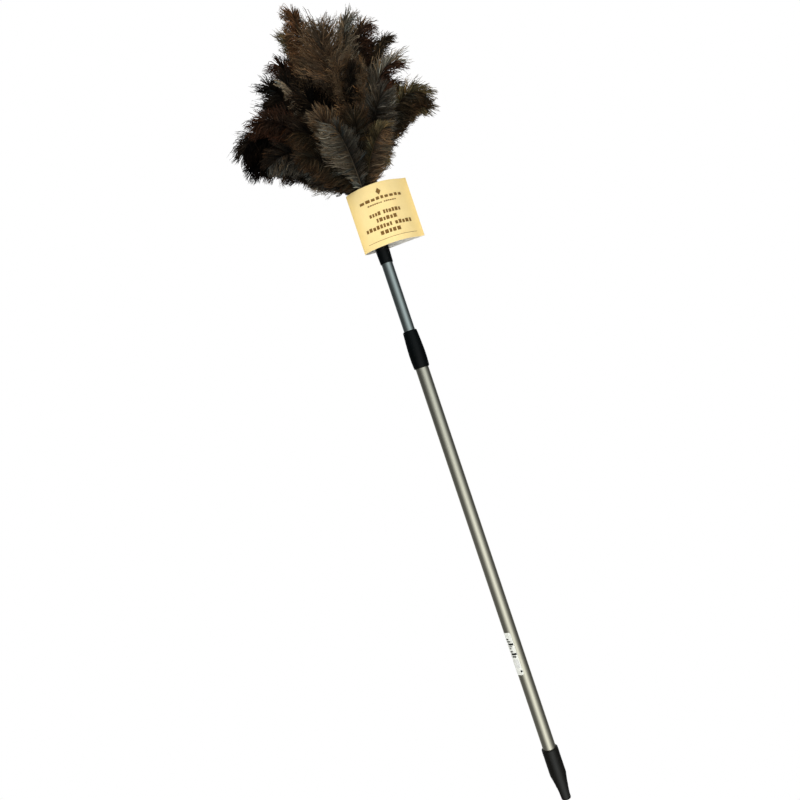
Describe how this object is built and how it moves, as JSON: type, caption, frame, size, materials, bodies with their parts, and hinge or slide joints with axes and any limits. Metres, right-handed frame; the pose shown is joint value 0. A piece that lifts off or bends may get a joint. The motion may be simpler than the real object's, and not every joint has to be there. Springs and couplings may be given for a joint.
{
  "type": "feather_duster",
  "caption": "Telescopic feather duster: a fan of dark brown ostrich plumes on a two-stage aluminium pole with a twist lock, black collar and ferrule, hanging cap and a folded card.",
  "frame": {"origin": "Centre of the small flat at the tip of the hanging cap, on the pole's axis.", "axes": "+Z along the pole towards the feather head, +X out of the hanging tab's flat side, the front of the card faces -Y."},
  "size_m": [0.3594, 0.3324, 1.391],
  "materials": {
    "black_plastic": "moulded black, faint sheen",
    "outer_aluminium": "satin, warm champagne anodised",
    "inner_aluminium": "satin, cool grey anodised",
    "label_film": "white printed film, slightly worn",
    "white_plastic": "natural acetal",
    "grey_plastic": "moulded dark grey",
    "red_plastic": "moulded red",
    "steel": "bright wire",
    "wood_core": "raw beech",
    "feather_dark": "soft ostrich barbs, dark brown",
    "feather_brown": "soft ostrich barbs, mid brown",
    "feather_black": "soft ostrich barbs, nearly black",
    "feather_grey": "soft ostrich barbs, grey brown",
    "card_stock": "pale yellow printed card, cream inside"
  },
  "bodies": {
    "handle": {"end_cap": "black_plastic", "outer_tube": "outer_aluminium", "tube_label": "label_film", "collar_grip": "black_plastic", "guide_bush": "white_plastic"},
    "lock": {"expander_sleeve": "white_plastic"},
    "wedge": {"wedge_nut": "red_plastic"},
    "pole": {"inner_tube": "inner_aluminium", "lock_plug": "grey_plastic", "stud_clip": "steel", "ferrule": "black_plastic", "head_core": "wood_core", "core_pin": "steel", "binding_wire_lower": "steel", "binding_wire_upper": "steel", "crown_plume_01": "feather_dark", "crown_plume_02": "feather_brown", "crown_plume_03": "feather_black", "crown_plume_04": "feather_grey", "crown_plume_05": "feather_dark", "lower_plume_01": "feather_dark", "lower_plume_02": "feather_brown", "lower_plume_03": "feather_black", "lower_plume_04": "feather_grey", "lower_plume_05": "feather_dark", "lower_plume_06": "feather_brown", "lower_plume_07": "feather_black", "lower_plume_08": "feather_grey", "lower_plume_09": "feather_dark", "lower_plume_10": "feather_brown", "lower_plume_11": "feather_black", "lower_plume_12": "feather_grey", "upper_plume_01": "feather_dark", "upper_plume_02": "feather_brown", "upper_plume_03": "feather_black", "upper_plume_04": "feather_grey", "upper_plume_05": "feather_dark", "upper_plume_06": "feather_brown", "upper_plume_07": "feather_black", "upper_plume_08": "feather_grey", "upper_plume_09": "feather_dark"},
    "tag": {"tag_card": "card_stock"}
  },
  "joints": [
    {"name": "telescope", "type": "slide", "parent": "handle", "child": "lock", "axis": [0, 0, 1], "range_m": [-0.117, 0.535]},
    {"name": "twist_lock", "type": "hinge", "parent": "lock", "child": "pole", "pos_m": [0, 0, 0.22], "axis": [0, 0, 1], "range_deg": [0, 360]},
    {"name": "wedge_travel", "type": "slide", "parent": "lock", "child": "wedge", "axis": [0, 0, 1], "range_m": [-0.004, 0]},
    {"name": "tag_turn", "type": "hinge", "parent": "pole", "child": "tag", "pos_m": [0, 0, 1.017], "axis": [0, 0, 1], "continuous": true}
  ],
  "couplings": [
    {"joint": "wedge_travel", "follows": "twist_lock", "m_per_rad": -0.0006366}
  ]
}
